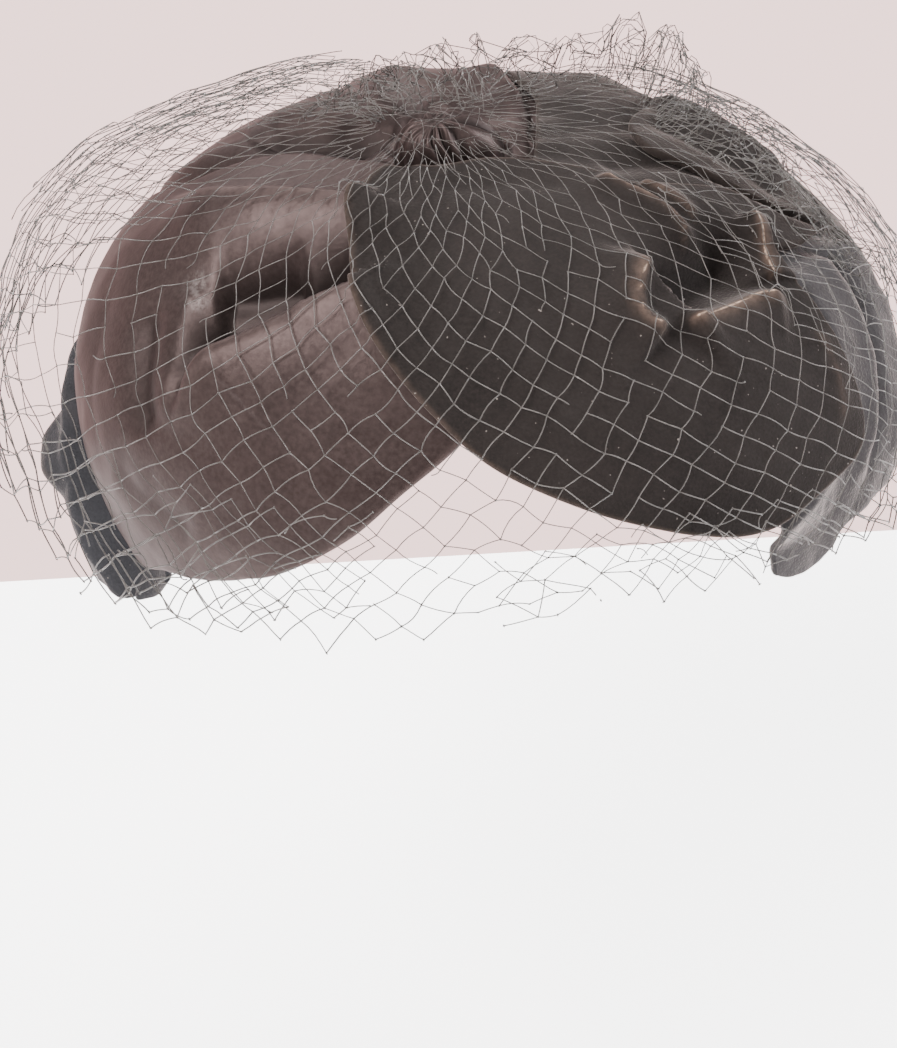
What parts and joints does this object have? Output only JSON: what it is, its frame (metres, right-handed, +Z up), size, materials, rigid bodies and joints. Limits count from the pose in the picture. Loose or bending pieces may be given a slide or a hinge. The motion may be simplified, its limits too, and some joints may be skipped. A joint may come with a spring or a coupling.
{
  "type": "petal cocktail hat with veil",
  "caption": "Vintage cocktail hat of overlapping padded satin and velvet petals, gathered at a crown knot, with velvet side drapes and a coarse net veil over the front and sides.",
  "frame": {"origin": "where the inside of the crown sits on top of the head, at the lowest point of the dip under the crown knot", "axes": "+Z up through the crown, front of the hat toward -Y, +X to the right of someone who looks at its front"},
  "size_m": [0.2355, 0.1758, 0.1176],
  "materials": {
    "satin": "dusty mauve-brown satin with soft sheen",
    "velvet": "very dark brown velvet pile",
    "net": "matt dark brown knotted net"
  },
  "bodies": {
    "root": {"satin_front_petal": "satin", "velvet_front_petal": "velvet", "satin_back_petal": "satin", "velvet_back_petal": "velvet", "velvet_crown_fold": "velvet", "satin_knot": "satin", "side_drape_right": "velvet", "side_drape_left": "velvet", "veil": "net"}
  },
  "joints": []
}
